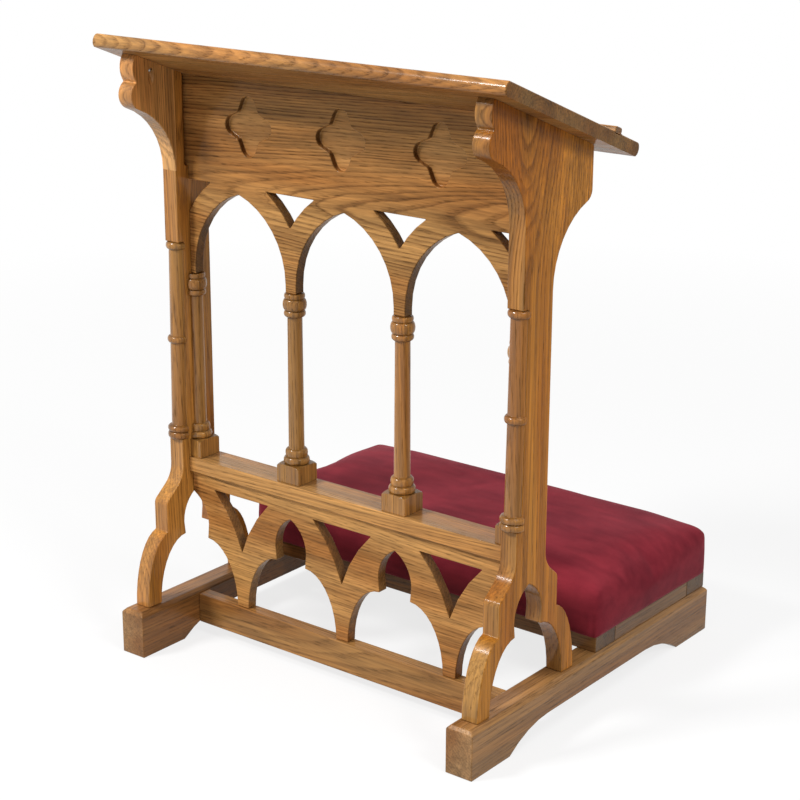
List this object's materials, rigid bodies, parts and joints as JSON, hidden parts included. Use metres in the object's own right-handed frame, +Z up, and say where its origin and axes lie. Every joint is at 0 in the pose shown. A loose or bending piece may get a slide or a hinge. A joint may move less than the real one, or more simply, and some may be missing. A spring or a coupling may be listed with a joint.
{
  "type": "padded kneeler",
  "caption": "Oak prie-dieu with a sloping book desk on a cusped Gothic arcade of turned colonnettes, scrolled standards on runners and a velvet kneeling pad.",
  "frame": {"origin": "on the floor, below the middle of the bounding box", "axes": "+X along the width, -Y towards the carved front, +Y towards the person who kneels, +Z up"},
  "size_m": [0.61, 0.5426, 0.8063],
  "materials": {
    "oak": "satin lacquer over honey-stained oak",
    "plywood": "raw plywood",
    "foam": "open-cell foam",
    "velvet": "crimson velvet",
    "beech": "raw beech",
    "steel": "zinc plated"
  },
  "bodies": {
    "root": {"arcade_panel": "oak", "book_ledge": "oak", "desk_screw_left_front": "steel", "desk_screw_left_rear": "steel", "desk_screw_right_front": "steel", "desk_screw_right_rear": "steel", "desk_top": "oak", "frame_screw_left_front": "steel", "frame_screw_left_rear": "steel", "frame_screw_right_front": "steel", "frame_screw_right_rear": "steel", "front_stretcher": "oak", "kneeler_board": "plywood", "kneeler_cover": "velvet", "kneeler_dowel_left_front": "beech", "kneeler_dowel_left_rear": "beech", "kneeler_dowel_right_front": "beech", "kneeler_dowel_right_rear": "beech", "kneeler_foam": "foam", "kneeler_front_rail": "oak", "kneeler_left_rail": "oak", "kneeler_rear_rail": "oak", "kneeler_right_rail": "oak", "left_bracket": "oak", "left_colonnette": "oak", "left_half_colonnette": "oak", "left_half_column": "oak", "left_runner": "oak", "left_standard": "oak", "leg_screw_left_front": "steel", "leg_screw_left_rear": "steel", "leg_screw_right_front": "steel", "leg_screw_right_rear": "steel", "lower_tracery": "oak", "middle_rail": "oak", "pad_screw_left_front": "steel", "pad_screw_left_rear": "steel", "pad_screw_right_front": "steel", "pad_screw_right_rear": "steel", "rail_dowel_left_front": "beech", "rail_dowel_left_rear": "beech", "rail_dowel_right_front": "beech", "rail_dowel_right_rear": "beech", "right_bracket": "oak", "right_colonnette": "oak", "right_half_colonnette": "oak", "right_half_column": "oak", "right_runner": "oak", "right_standard": "oak", "tracery_dowel_1": "beech", "tracery_dowel_2": "beech", "tracery_dowel_3": "beech"}
  },
  "joints": []
}
